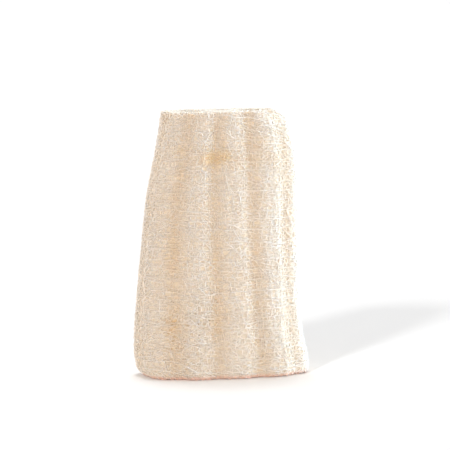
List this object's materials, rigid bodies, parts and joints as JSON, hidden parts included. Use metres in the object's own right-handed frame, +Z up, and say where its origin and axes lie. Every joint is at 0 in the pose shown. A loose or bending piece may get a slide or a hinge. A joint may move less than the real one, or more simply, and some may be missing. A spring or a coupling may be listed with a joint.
{
  "type": "natural loofah sponge",
  "caption": "Natural loofah sponge: the dried fibre skeleton of a ridged gourd, pressed slightly flat and cut square, with open seed channels, for washing and scrubbing.",
  "frame": {"origin": "middle of the part's box, on the plane of the lower cut end that it stands on", "axes": "+Z up along the length of the gourd, X across the wide face, -Y out of the wide face that the picture shows"},
  "size_m": [0.1, 0.047, 0.15],
  "materials": {
    "loofah_fibre": "matte dried plant fibre, cream with ochre furrows"
  },
  "bodies": {
    "root": {"loofah_sponge": "loofah_fibre"}
  },
  "joints": []
}
